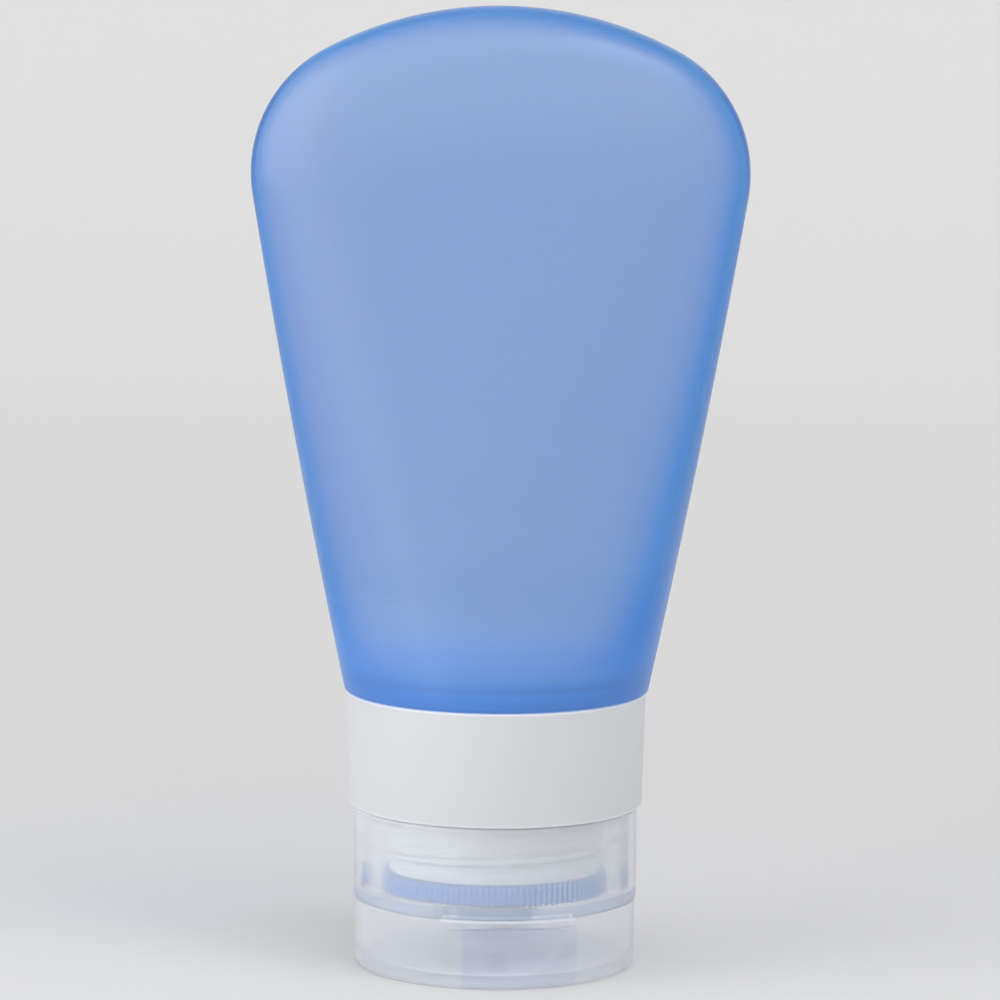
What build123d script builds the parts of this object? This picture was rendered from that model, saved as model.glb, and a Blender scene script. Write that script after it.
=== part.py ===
from build123d import *
from math import acos, atan2, cos, hypot, pi, radians, sin, sqrt
import os

# A flattened squeeze bottle that stands upside down on its flip lid.
# Lengths are millimetres and angles are degrees.
# The origin is the centre of the lid's flat end, +Z points to the closed end of the body,
# the front faces -Y, and the lid's hinge is at the back.

# Flip lid
lid_step = 0.15             # how far its rim lies inside the cap base's outside
lid_draft = 0.15            # how much wider it is at the rim than at the flat end
lid_height = 9.55
lid_plate = 1.5
lid_wall = 1.3
lid_foot_round = 0.8        # rounded edge that the bottle stands inside
rim_round = 0.3             # rounded edges on both sides of the parting line
pin_radius = 2.0            # pin that closes the spout's valve
seal_ring_wall = 0.8        # ring that closes round the spout
seal_ring_gap = 0.2         # between that ring and the spout
seal_ring_drop = 1.0        # how far the ring stops short of the parting plane

# Thumb panel on the lid, and the nail nick above it in the cap base
panel_radius = 40.0         # the panel is flatter than the lid
panel_depth = 1.2
panel_run = 6.0             # height of the gentle slope at its lower end
panel_low = 0.9             # where that slope starts above the flat end
lip_height = 0.9            # lip left between the panel and the parting line
lip_run = 0.5
nick_angle = 27.5           # to each side of the front
nick_depth = 0.9
nick_height = 0.9

# Cap base, whose radius all the pieces round it follow
base_radius = 19.6
base_height = 12.75
base_wall = 0.9
base_rim_round = 0.35
deck_thickness = 1.75
skirt_wall = 0.85           # threaded skirt inside the outer wall
skirt_recess = 1.2          # how far the skirt stops short of the base's open end
rib_count = 144
rib_depth = 0.25
rib_gap = 0.25              # between the ribs and the outer wall
spout_radius = 6.4
spout_wall = 1.2
spout_drop = 1.95           # how far the spout reaches below the deck
spout_ledge = 1.6           # width of the ledge that the valve's flange lies on
spout_lip = 1.2             # thickness of that ledge
spout_round = 0.5
cap_turn = 6.0              # the thread stops with the cap turned this far to the right

# Slit valve and its snap ring
valve_flange = 1.0
valve_gap = 0.15            # between the valve's tube and the spout's opening
tube_wall = 0.55            # wall of the valve's tube
valve_wall = 0.5            # thickness of its face
valve_recess = 0.4          # how far its face lies inside the spout's opening
slit_margin = 0.7           # from the ends of the two crossed slits to the tube's wall
slit_width = 0.12
snap_depth = 0.25           # bead of the snap ring
snap_height = 0.8
retainer_wall = 1.6
funnel = 0.8                # sloped inner edge of the snap ring

# Living hinge
hinge_stand = 0.15          # how far the flats for the strap stand out from the cap base
land_margin = 0.6           # flat left round the strap
strap_width = 7.0
strap_thickness = 0.45
strap_pad = 2.6             # height of each pad
strap_reach = 0.75          # from the parting plane to the nearer end of each pad
strap_bow = 0.45            # how far the loop stands out from the pads
web_thickness = 0.3         # at the middle of the loop, where it folds

# Neck ring and its thread
neck_wall = 1.8
neck_rim_round = 0.3
thread_depth = 0.9
thread_root = 1.6           # width of a thread ridge where it meets its wall
thread_crest = 0.7
thread_pitch = 3.5
thread_turns = 1.5
cap_thread_turns = 1.1
thread_start = 1.3          # from the neck's rim to the start of the thread
thread_phase = 45.0         # where both threads start, counted from +X
thread_clearance = 0.25     # between each crest and the facing root
flank_clearance = 0.08      # between the two threads' loaded flanks
sunk = 0.3                  # depth that a ridge is let into its wall
flange_reach = 0.6          # how far the flange and the sleeve's bead stand out past the sleeve
flange_thickness = 1.0
barb_count = 2
barb_depth = 0.5
barb_height = 1.6
barb_pitch = 4.0
neck_recess = 1.0           # how far the neck ring stops short of the cavity's floor

# Sealing ring
gasket_thickness = 2.5
gasket_width = 4.7
gasket_clearance = 0.15     # to the skirt around it

# Collar ring
collar_gap = 0.2            # between the cap base and the collar
collar_height = 15.85
collar_step = 0.68          # how far its lower end stands out past the cap base
collar_draft = 0.42         # how much wider it is at the body
collar_lip = 0.8            # lip that holds the neck ring's flange
collar_lip_reach = 1.4      # how far that lip reaches in under the flange
collar_round = 0.4

# Silicone body
wall = 1.6
floor_thickness = 2.0
sleeve_wall = 2.2           # soft sleeve between the neck ring and the collar
bead_height = 2.0
body_height = 94.15
foot_step = 0.25            # how far the body stands out past the collar where they meet
foot_round = 0.5
foot_lean = 12.1            # how far the sides lean out at the collar
side_radius = 1470.0        # the sides are very slightly bowed
corner_radius = 19.1
crown_radius = 51.3
nose_radius = 7.8           # closed end, seen from the side
round_share = 0.5523        # handle length of a quarter that is a circle or an ellipse
full_share = 0.66           # the same at the closed end, where the section is squarer
body_sections = 16

overrun = 0.5               # how far cuts run past what they cut

# Heights of the seats, from the rest face upwards
part_z = lid_height
deck_z = part_z + deck_thickness
rim_z = deck_z + gasket_thickness
base_top_z = part_z + base_height
collar_z = base_top_z + collar_gap
flange_z = collar_z + collar_lip
bead_z = flange_z + flange_thickness
foot_z = collar_z + collar_height
floor_z = foot_z + floor_thickness
top_z = foot_z + body_height
neck_top_z = floor_z - neck_recess

# Radii, from the cap base inwards through the skirt and the thread to the neck's bore
skirt_radius = base_radius - base_wall - rib_gap - rib_depth
skirt_bore = skirt_radius - skirt_wall
thread_radius = skirt_bore - thread_clearance
neck_radius = thread_radius - thread_depth
neck_bore = neck_radius - neck_wall

# Radii from the neck outwards to the sleeve, and from the cap base to the lid, collar and body
sleeve_radius = neck_radius + sleeve_wall
flange_radius = sleeve_radius + flange_reach
collar_lip_radius = flange_radius - collar_lip_reach
lid_rim_radius = base_radius - lid_step
lid_radius = lid_rim_radius - lid_draft
collar_low_radius = base_radius + collar_step
collar_top_radius = collar_low_radius + collar_draft
foot_radius = collar_top_radius + foot_step

# Radii in the spout
valve_radius = spout_radius - spout_wall
spout_mouth = valve_radius - spout_ledge
valve_tube = spout_mouth - valve_gap
valve_throat = valve_tube - tube_wall
valve_slit = 2 * (valve_throat - slit_margin)

# Places in the cap and the lid
skirt_z = base_top_z - skirt_recess
spout_z = part_z - spout_drop
valve_seat_z = spout_z + spout_lip
retainer_z = valve_seat_z + valve_flange
snap_z = (retainer_z + deck_z) / 2
valve_low_z = spout_z + valve_recess
hinge_y = base_radius + hinge_stand
land_width = strap_width + 2 * land_margin
land_height = strap_reach + strap_pad + land_margin


def turned(points, rounds=()):
    """A solid turned about Z from (radius, height) points, with some corners rounded."""
    profile = make_face(Polyline(*points, close=True))
    for point, radius in rounds:
        corner = profile.vertices().sort_by_distance(point)[0]
        profile = fillet(corner, radius)
    return revolve(Plane.XZ * profile, Axis.Z)


def tube(outer, inner, low, high):
    """A plain ring between two radii and two heights."""
    return turned([(inner, low), (outer, low), (outer, high), (inner, high)])


def disc(radius, low, high):
    """A plain cylinder about Z between two heights."""
    return turned([(0, low), (radius, low), (radius, high), (0, high)])


# Outline of the body, seen from the front: three tangent arcs on each side

def crossing(centre_a, reach_a, centre_b, reach_b):
    """The outer one of the two points that lie at given distances from two centres."""
    (ax, az), (bx, bz) = centre_a, centre_b
    apart = hypot(bx - ax, bz - az)
    along = (reach_a**2 - reach_b**2 + apart**2) / (2 * apart)
    aside = sqrt(reach_a**2 - along**2)
    ux, uz = (bx - ax) / apart, (bz - az) / apart
    points = [(ax + along * ux - side * uz, az + along * uz + side * ux) for side in (aside, -aside)]
    return max(points)


def arc_centres():
    """Centres of the side, corner and crown arcs."""
    lean = radians(foot_lean)
    side = (foot_radius - side_radius * cos(lean), foot_z + side_radius * sin(lean))
    crown = (0, top_z - crown_radius)
    corner = crossing(side, side_radius - corner_radius, crown, crown_radius - corner_radius)
    return side, corner, crown


def half_width(z, inset):
    """Half the body's width at a height, for its outside or for a surface set inside it."""
    side, corner, crown = arc_centres()
    reach = corner_radius - inset
    side_way = atan2(corner[1] - side[1], corner[0] - side[0])
    crown_way = atan2(corner[1] - crown[1], corner[0] - crown[0])
    if z <= corner[1] + reach * sin(side_way):
        centre, radius = side, side_radius - inset
    elif z <= corner[1] + reach * sin(crown_way):
        centre, radius = corner, reach
    else:
        centre, radius = crown, crown_radius - inset
    return centre[0] + sqrt(max(radius**2 - (z - centre[1]) ** 2, 0))


def half_depth(z, inset):
    """Half the body's depth at a height: straight from the collar, then a round nose."""
    nose_z = top_z - nose_radius
    rise = nose_z - foot_z
    tilt = acos(nose_radius / hypot(foot_radius, rise)) - atan2(rise, foot_radius)
    radius = nose_radius - inset
    if z <= nose_z + radius * sin(tilt):
        return (radius - (z - nose_z) * sin(tilt)) / cos(tilt)
    return sqrt(max(radius**2 - (z - nose_z) ** 2, 0))


def body_section(z, inset):
    """A closed oval at a height, rounder near the collar and squarer near the closed end."""
    a = half_width(z, inset)
    b = half_depth(z, inset)
    share = round_share + (full_share - round_share) * (z - foot_z) / body_height
    quarters = [
        Bezier((a * i, 0), (a * i, b * share * j), (a * share * i, b * j), (0, b * j))
        for i, j in ((1, 1), (-1, 1), (-1, -1), (1, -1))
    ]
    return Pos(0, 0, z) * make_face(quarters)


def oval_solid(low, inset):
    """The flattened shape from a height up to the closed end, for the outside or the cavity."""
    high = top_z - inset
    steps = [sin(pi / 2 * i / body_sections) for i in range(body_sections)]
    sections = [body_section(low + (high - low) * step, inset) for step in steps]
    return loft(sections + [Vertex(0, 0, high)])


# Grip between the neck ring and the soft sleeve

def barb_outline():
    """Points up the neck ring's outside, from its flange to its top, with the barbs."""
    points = []
    for i in range(barb_count):
        low = bead_z + bead_height + i * barb_pitch
        points += [
            (neck_radius, low),
            (neck_radius + barb_depth, low),
            (neck_radius, low + barb_height),
        ]
    return points


def thread_ridge(root, outward, start_z, turns):
    """A right-hand thread ridge on a wall: outward is 1 on the neck and -1 in the cap."""
    crest = root + outward * thread_depth
    foot = root - outward * sunk
    half_root = thread_root / 2
    half_crest = thread_crest / 2
    face = make_face(
        Polyline(
            (foot, -half_root),
            (root, -half_root),
            (crest, -half_crest),
            (crest, half_crest),
            (root, half_root),
            (foot, half_root),
            close=True,
        )
    )
    path = Helix(thread_pitch, thread_pitch * turns, root)
    ridge = sweep(Plane.XZ * face, path=path, is_frenet=True)
    return Pos(0, 0, start_z) * Rot(0, 0, thread_phase) * ridge


# Pieces that stay with the bottle

def silicone_body():
    """Soft body: a fan-shaped hollow, with the sleeve that the collar grips."""
    outside = oval_solid(foot_z, 0)
    foot_edges = outside.edges().filter_by_position(Axis.Z, foot_z - foot_round, foot_z + foot_round / 2)
    outside = fillet(foot_edges, foot_round)
    groove_z = bead_z + bead_height
    sleeve = turned(
        [
            (neck_radius, bead_z),
            (flange_radius, bead_z),
            (flange_radius, groove_z),
            (sleeve_radius, groove_z),
            (sleeve_radius, floor_z),
            (neck_radius, floor_z),
        ]
    )
    opening = disc(neck_radius, bead_z - overrun, floor_z + overrun)
    grip = turned([(0, bead_z)] + barb_outline() + [(0, neck_top_z)])
    return outside + sleeve - oval_solid(floor_z, wall) - opening - grip


def neck_ring():
    """Hard threaded neck, pushed into the sleeve up to its flange."""
    outline = [
        (neck_bore, rim_z),
        (neck_radius, rim_z),
        (neck_radius, flange_z),
        (flange_radius, flange_z),
        (flange_radius, bead_z),
        (neck_radius, bead_z),
    ]
    outline += barb_outline()
    outline += [(neck_radius, neck_top_z), (neck_bore, neck_top_z)]
    rounds = [((neck_bore, rim_z), neck_rim_round), ((neck_radius, rim_z), neck_rim_round)]
    ridge = thread_ridge(neck_radius, 1, rim_z + thread_start, thread_turns)
    return turned(outline, rounds) + ridge


def collar_ring():
    """Plain ring round the sleeve, snapped over the neck ring's flange and the sleeve's bead."""
    groove_z = bead_z + bead_height
    outline = [
        (collar_lip_radius, collar_z),
        (collar_low_radius, collar_z),
        (collar_top_radius, foot_z),
        (sleeve_radius, foot_z),
        (sleeve_radius, groove_z),
        (flange_radius, groove_z),
        (flange_radius, flange_z),
        (collar_lip_radius, flange_z),
    ]
    corners = [(collar_low_radius, collar_z), (collar_top_radius, foot_z)]
    return turned(outline, [(corner, collar_round) for corner in corners])


def sealing_gasket():
    """Soft ring pressed between the neck's rim and the cap's deck."""
    outer = skirt_bore - gasket_clearance
    return tube(outer, outer - gasket_width, deck_z, rim_z)


# Pieces of the cap

def at_home(piece):
    """A piece of the cap or the lid, turned to where the thread stops."""
    return Rot(0, 0, cap_turn) * piece


def skirt():
    """Threaded skirt of the cap, ribbed all round its outside."""
    points = []
    for i in range(rib_count):
        for step, radius in ((0, skirt_radius), (0.5, skirt_radius + rib_depth)):
            angle = 2 * pi * (i + step) / rib_count
            points.append((radius * cos(angle), radius * sin(angle)))
    section = make_face(Polyline(*points, close=True)) - Circle(skirt_bore)
    ribbed = Pos(0, 0, deck_z) * extrude(section, skirt_z - deck_z)
    flank_slope = (thread_root - thread_crest) / 2 / thread_depth
    both_flanks = thread_root - flank_slope * (skirt_bore - neck_radius)
    start_z = rim_z + thread_start + both_flanks + flank_clearance
    return ribbed + thread_ridge(skirt_bore, -1, start_z, cap_thread_turns)


def hinge_land(outer_wall, low, high):
    """Thickened place at the back, between two heights, with the flat that the strap lies on."""
    depth = hinge_y - base_radius + outer_wall / 2
    middle = Pos(0, hinge_y - depth / 2, (low + high) / 2)
    return middle * Box(land_width, depth, high - low)


def nail_nick():
    """Cut in the front of the cap base's lower edge, which bares the lid's lip."""
    inner = base_radius - nick_depth
    outer = base_radius + overrun
    high = part_z + nick_height * (nick_depth + overrun) / nick_depth
    low = part_z - overrun
    profile = make_face(Polyline((inner, low), (outer, low), (outer, high), (inner, part_z), close=True))
    ring = revolve(Plane.XZ * profile, Axis.Z, 2 * nick_angle)
    return Rot(0, 0, -90 - nick_angle) * ring


def snap_outline(radius):
    """Points up the bead of the snap ring, or up the groove that holds it."""
    half = snap_height / 2
    return [(radius, snap_z - half), (radius + snap_depth, snap_z), (radius, snap_z + half)]


def cap_base():
    """Screw cap: outer wall, deck, spout and threaded skirt in one moulding."""
    inside = base_radius - base_wall
    outline = [
        (spout_mouth, spout_z),
        (spout_radius, spout_z),
        (spout_radius, part_z),
        (base_radius, part_z),
        (base_radius, base_top_z),
        (inside, base_top_z),
        (inside, deck_z),
        (valve_radius, deck_z),
    ]
    outline += reversed(snap_outline(valve_radius))
    outline += [(valve_radius, valve_seat_z), (spout_mouth, valve_seat_z)]
    rounds = [
        ((base_radius, part_z), rim_round),
        ((base_radius, base_top_z), base_rim_round),
        ((spout_radius, spout_z), spout_round),
    ]
    land = hinge_land(base_wall, part_z, part_z + land_height)
    shell = turned(outline, rounds) + land - nail_nick()
    return at_home(shell) + skirt()


def drip_valve():
    """Soft valve in the spout: a flange, a short tube and a face with crossed slits."""
    outline = [
        (0, valve_low_z),
        (valve_tube, valve_low_z),
        (valve_tube, valve_seat_z),
        (valve_radius, valve_seat_z),
        (valve_radius, retainer_z),
        (valve_throat, retainer_z),
        (valve_throat, valve_low_z + valve_wall),
        (0, valve_low_z + valve_wall),
    ]
    slit = Pos(0, 0, valve_low_z) * Box(valve_slit, slit_width, 2 * valve_wall + overrun)
    return at_home(turned(outline) - slit - Rot(0, 0, 90) * slit)


def valve_retainer():
    """Snap ring that holds the valve's flange in the spout."""
    inner = valve_radius - retainer_wall
    outline = [(inner, retainer_z), (valve_radius, retainer_z)]
    outline += snap_outline(valve_radius)
    outline += [(valve_radius, deck_z), (inner + funnel, deck_z), (inner, deck_z - funnel)]
    return at_home(turned(outline))


def hinge_strap():
    """Living hinge: two pads, and a thin loop between them that bends at the parting plane."""
    pad_y = hinge_y + strap_thickness
    loop_y = pad_y + strap_bow
    web_y = loop_y - web_thickness
    half_web = web_thickness / 2
    near = strap_reach
    far = strap_reach + strap_pad
    outside = [(hinge_y, far), (pad_y, far), (pad_y, near), (loop_y, half_web)]
    inside = [(web_y, half_web), (hinge_y, near)]
    upper = outside + [(y, -z) for y, z in reversed(outside)]
    lower = [(y, -z) for y, z in reversed(inside)] + inside
    profile = Plane.YZ * make_face(Polyline(*upper, *lower, close=True))
    strap = extrude(profile, strap_width / 2, both=True)
    return at_home(Pos(0, 0, part_z) * strap)


# Lid

def panel_keeper(inset):
    """What the thumb panel leaves of the lid, or of its cavity, as a turned solid."""
    near = panel_radius - inset
    far = near + panel_depth + overrun
    low_slope = overrun * panel_run / panel_depth
    high_slope = overrun * lip_run / panel_depth
    lip_z = part_z - lip_height
    outline = [
        (0, -overrun),
        (far, -overrun),
        (far, panel_low - low_slope),
        (near, panel_low + panel_run),
        (near, lip_z - lip_run),
        (far, lip_z + high_slope),
        (far, part_z + overrun),
        (0, part_z + overrun),
    ]
    front_y = lid_rim_radius - panel_depth
    return Pos(0, panel_radius - front_y, 0) * turned(outline)


def flip_lid():
    """Lid: a shallow cup with a thumb panel, a sealing ring and a pin."""
    cup = turned(
        [(0, 0), (lid_radius, 0), (lid_rim_radius, part_z), (0, part_z)],
        [((lid_radius, 0), lid_foot_round), ((lid_rim_radius, part_z), rim_round)],
    )
    top = part_z + overrun
    cavity = turned(
        [(0, lid_plate), (lid_radius - lid_wall, lid_plate), (lid_rim_radius - lid_wall, top), (0, top)]
    )
    shell = cup & panel_keeper(0)
    shell -= cavity & panel_keeper(lid_wall)
    shell += hinge_land(lid_wall, part_z - land_height, part_z)
    ring_inner = spout_radius + seal_ring_gap
    ring = tube(ring_inner + seal_ring_wall, ring_inner, lid_plate, part_z - seal_ring_drop)
    return at_home(shell + ring + disc(pin_radius, lid_plate, valve_low_z))


PIECES = [
    silicone_body,
    neck_ring,
    collar_ring,
    sealing_gasket,
    cap_base,
    drip_valve,
    valve_retainer,
    hinge_strap,
    flip_lid,
]

os.makedirs("parts", exist_ok=True)
for piece in PIECES:
    export_step(piece(), f"parts/{piece.__name__}.step")
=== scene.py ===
from math import acos, atan2, cos, hypot, pi, radians, sin, sqrt, tan

import bpy
import numpy as np
from mathutils import Matrix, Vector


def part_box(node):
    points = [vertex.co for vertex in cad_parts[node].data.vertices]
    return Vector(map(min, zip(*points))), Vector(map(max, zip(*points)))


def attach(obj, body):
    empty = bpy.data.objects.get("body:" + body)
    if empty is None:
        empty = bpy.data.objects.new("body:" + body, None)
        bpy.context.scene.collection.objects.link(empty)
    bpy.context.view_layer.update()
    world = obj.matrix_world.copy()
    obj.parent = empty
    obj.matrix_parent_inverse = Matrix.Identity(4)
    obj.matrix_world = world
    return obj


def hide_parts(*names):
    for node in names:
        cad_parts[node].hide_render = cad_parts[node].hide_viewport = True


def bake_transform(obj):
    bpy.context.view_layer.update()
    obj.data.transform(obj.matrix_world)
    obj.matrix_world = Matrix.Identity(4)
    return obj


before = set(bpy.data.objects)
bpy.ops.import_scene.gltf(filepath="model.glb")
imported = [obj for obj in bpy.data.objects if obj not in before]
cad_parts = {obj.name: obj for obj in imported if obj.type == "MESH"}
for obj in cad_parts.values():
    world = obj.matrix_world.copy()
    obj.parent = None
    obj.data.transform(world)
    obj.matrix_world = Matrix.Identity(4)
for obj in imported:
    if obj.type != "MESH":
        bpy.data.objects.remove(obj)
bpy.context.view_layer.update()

MM = 0.001

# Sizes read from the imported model, in metres

body_low, body_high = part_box("silicone_body")
collar_low, collar_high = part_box("collar_ring")
neck_low, neck_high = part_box("neck_ring")
gasket_low, gasket_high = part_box("sealing_gasket")
base_low, base_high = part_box("cap_base")
lid_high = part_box("flip_lid")[1]

TOP_Z = body_high[2]
FOOT_Z = collar_high[2]
COLLAR_Z = collar_low[2]
BEAD_Z = body_low[2]
NECK_TOP_Z = neck_high[2]
RIM_Z = neck_low[2]
DECK_Z = gasket_low[2]
BASE_TOP_Z = base_high[2]
SPOUT_Z = base_low[2]
PART_Z = lid_high[2]
COLLAR_TOP_RADIUS = collar_high[0]
BASE_RADIUS = base_high[0]
LID_RIM_RADIUS = lid_high[0]
GASKET_RADIUS = gasket_high[0]
FLANGE_RADIUS = neck_high[0]

# The other sizes, the same as in the construction

CAP_TURN = radians(6.0)
RIM_ROUND = 0.3 * MM

# Flip lid
LID_DRAFT = 0.15 * MM
LID_PLATE = 1.5 * MM
LID_WALL = 1.3 * MM
LID_FOOT_ROUND = 0.8 * MM
PIN_RADIUS = 2.0 * MM
PIN_Z = 8.0 * MM
SEAL_RING_WALL = 0.8 * MM
SEAL_RING_GAP = 0.2 * MM
SEAL_RING_DROP = 1.0 * MM

# Thumb panel, and the nail nick above it
PANEL_RADIUS = 40.0 * MM
PANEL_DEPTH = 1.2 * MM
PANEL_RUN = 6.0 * MM
PANEL_LOW = 0.9 * MM
LIP_HEIGHT = 0.9 * MM
LIP_RUN = 0.5 * MM
NICK_ANGLE = radians(27.5)
NICK_DEPTH = 0.9 * MM
NICK_HEIGHT = 0.9 * MM

# Neck ring and its thread
NECK_BORE = 14.4 * MM
NECK_RADIUS = 16.2 * MM
NECK_RIM_ROUND = 0.3 * MM
THREAD_DEPTH = 0.9 * MM
THREAD_ROOT = 1.6 * MM
THREAD_CREST = 0.7 * MM
THREAD_PITCH = 3.5 * MM
THREAD_TURNS = 1.5
CAP_THREAD_TURNS = 1.1
THREAD_START = 1.3 * MM
THREAD_PHASE = radians(45.0)
THREAD_CLEARANCE = 0.25 * MM
FLANK_CLEARANCE = 0.08 * MM
FLANGE_THICKNESS = 1.0 * MM

# Cap base
BASE_WALL = 0.9 * MM
BASE_RIM_ROUND = 0.35 * MM
SKIRT_WALL = 0.85 * MM
SKIRT_RECESS = 1.2 * MM
SKIRT_BORE = NECK_RADIUS + THREAD_DEPTH + THREAD_CLEARANCE
SKIRT_RADIUS = SKIRT_BORE + SKIRT_WALL
RIB_COUNT = 144
RIB_DEPTH = 0.25 * MM
SPOUT_RADIUS = 6.4 * MM
SPOUT_MOUTH = 3.6 * MM
SPOUT_LIP = 1.2 * MM
SPOUT_ROUND = 0.5 * MM
VALVE_RADIUS = 5.2 * MM

# Hinge strap, and the two flats that it lies on
HINGE_STAND = 0.15 * MM
LAND_WIDTH = 8.2 * MM
LAND_HEIGHT = 3.95 * MM
LAND_ANGLE = atan2(LAND_WIDTH / 2, BASE_RADIUS + HINGE_STAND)
STRAP_WIDTH = 7.0 * MM
STRAP_THICKNESS = 0.45 * MM
STRAP_PAD = 2.6 * MM
STRAP_REACH = 0.75 * MM
STRAP_BOW = 0.45 * MM
WEB_THICKNESS = 0.3 * MM

# Sealing ring
GASKET_WIDTH = 4.7 * MM

# Collar ring
COLLAR_DRAFT = 0.42 * MM
COLLAR_LIP = 0.8 * MM
COLLAR_LIP_RADIUS = 17.6 * MM
COLLAR_ROUND = 0.4 * MM

# Silicone body
BODY_WALL = 1.6 * MM
BODY_FLOOR = 2.0 * MM
SLEEVE_RADIUS = 18.4 * MM
BEAD_HEIGHT = 2.0 * MM
FOOT_RADIUS = 20.95 * MM
FOOT_ROUND = 0.5 * MM
FOOT_LEAN = radians(12.1)
SIDE_RADIUS = 1470.0 * MM
CORNER_RADIUS = 19.1 * MM
CROWN_RADIUS = 51.3 * MM
NOSE_RADIUS = 7.8 * MM
ROUND_SHARE = 0.5523
FULL_SHARE = 0.66

# Softened places that only the scene has; the threads' ends taper over a share of a turn

FLOOR_ROUND = 2.6 * MM
GASKET_ROUND = 0.3 * MM
LAND_ROUND = 0.12 * MM
LAND_EDGE = radians(0.7)
NICK_EDGE = radians(1.5)
PANEL_EDGE = 0.12 * MM
THREAD_TAPER = 0.02

# A hair between pieces that touch, so that no two faces lie in one place

HAIR = 0.02 * MM

# How fine the meshes are

SHARP_EDGE = radians(32.0)
ARC_STEPS = 5
FLOOR_STEPS = 9
BODY_COLUMNS = 160
OUTSIDE_ROWS = 90
CAVITY_ROWS = 80
RING_COLUMNS = 256
COLUMNS_PER_RIB = 4
LID_COLUMNS = 512
STRAP_COLUMNS = 12
STRAP_ROWS = 24
NECK_STEP = 0.22 * MM
CAP_STEP = 0.3 * MM
LID_STEP = 0.25 * MM

# Lengths that differ by less than this are the same

TINY = 0.001 * MM


# Mesh building

def linked(name, data):
    """A new object in the scene, made from a mesh, a lamp or a camera."""
    piece = bpy.data.objects.new(name, data)
    bpy.context.scene.collection.objects.link(piece)
    return piece


def grid_object(name, rows, loop_rows=False):
    """A closed smooth mesh from rows of points; a row of one point is a pole."""
    points = []
    indices = []
    for row in rows:
        indices.append(list(range(len(points), len(points) + len(row))))
        points.extend(row)
    faces = []
    pairs = list(zip(indices[:-1], indices[1:]))
    if loop_rows:
        pairs.append((indices[-1], indices[0]))
    for low, high in pairs:
        count = max(len(low), len(high))
        for i in range(count):
            j = (i + 1) % count
            if len(low) == 1:
                faces.append((low[0], high[j], high[i]))
            elif len(high) == 1:
                faces.append((low[i], low[j], high[0]))
            else:
                faces.append((low[i], low[j], high[j], high[i]))
    mesh = bpy.data.meshes.new(name)
    mesh.from_pydata([tuple(map(float, p)) for p in points], [], faces)
    mesh.validate()
    mesh.shade_smooth()
    mesh.set_sharp_from_angle(angle=SHARP_EDGE)
    return linked(name, mesh)


def same(first, second):
    """Whether two lengths are the same."""
    return abs(first - second) < TINY


def rounded(points, rounds):
    """A profile with arcs at some of its corners; rounds maps a corner's index to its radius."""
    result = []
    count = len(points)
    for i, point in enumerate(points):
        if i not in rounds:
            result.append(point)
            continue
        p = np.array(point)
        before = np.array(points[i - 1]) - p
        after = np.array(points[(i + 1) % count]) - p
        before /= np.linalg.norm(before)
        after /= np.linalg.norm(after)
        half = acos(np.clip(before @ after, -1, 1)) / 2
        reach = rounds[i] / tan(half)
        bisector = (before + after) / np.linalg.norm(before + after)
        centre = p + bisector * rounds[i] / sin(half)
        start = p + before * reach - centre
        end = p + after * reach - centre
        for step in np.linspace(0, 1, ARC_STEPS + 1):
            way = start * (1 - step) + end * step
            result.append(tuple(centre + way / np.linalg.norm(way) * rounds[i]))
    return result


def divided(points, longest, closed=True):
    """A profile whose long runs get points in between."""
    result = []
    ends = points[1:] + points[:1] if closed else points[1:]
    for a, b in zip(points, ends):
        a, b = np.array(a), np.array(b)
        steps = max(1, int(np.ceil(np.linalg.norm(b - a) / longest)))
        result += [tuple(a + (b - a) * i / steps) for i in range(steps)]
    return result if closed else result + [points[-1]]


def turned_rows(profile, columns, radius_at=None):
    """Rows of points round Z from (radius, height) points; radius_at may reshape each row."""
    angles = np.arange(columns) * 2 * pi / columns
    rows = []
    for r, z in profile:
        if same(r, 0):
            rows.append(np.array([(0, 0, z)]))
            continue
        radii = np.full(columns, r)
        if radius_at is not None:
            radii = radius_at(radii, angles, z)
        heights = np.full(columns, z)
        rows.append(np.stack([radii * np.cos(angles), radii * np.sin(angles), heights], 1))
    return rows


def turn_home(piece):
    """Turn a piece of the cap or the lid to where the thread stops."""
    piece.data.transform(Matrix.Rotation(CAP_TURN, 4, "Z"))
    return piece


def off_front(angles):
    """How far each angle is from the front, which is -Y."""
    return np.abs((angles + pi / 2 + pi) % (2 * pi) - pi)


def land_rise(angles, wall_radius):
    """How far the hinge land's flat stands out from a round wall, at each angle of a row."""
    off_back = pi - off_front(angles)
    flat = (BASE_RADIUS + HINGE_STAND) / np.cos(np.minimum(off_back, LAND_ANGLE))
    return (flat - wall_radius) * np.clip((LAND_ANGLE - off_back) / LAND_EDGE + 0.5, 0, 1)


def soft_minimum(first, second, soft):
    """The lesser of two lengths, rounded off where they differ by less than a soft length."""
    share = np.clip(0.5 + (second - first) / (2 * soft), 0, 1)
    return first * share + second * (1 - share) - soft * share * (1 - share)


# Body

def crossing(centre_a, reach_a, centre_b, reach_b):
    """The outer one of the two points that lie at given distances from two centres."""
    (ax, az), (bx, bz) = centre_a, centre_b
    apart = hypot(bx - ax, bz - az)
    along = (reach_a**2 - reach_b**2 + apart**2) / (2 * apart)
    aside = sqrt(reach_a**2 - along**2)
    ux, uz = (bx - ax) / apart, (bz - az) / apart
    points = [(ax + along * ux - side * uz, az + along * uz + side * ux) for side in (aside, -aside)]
    return max(points)


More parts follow.
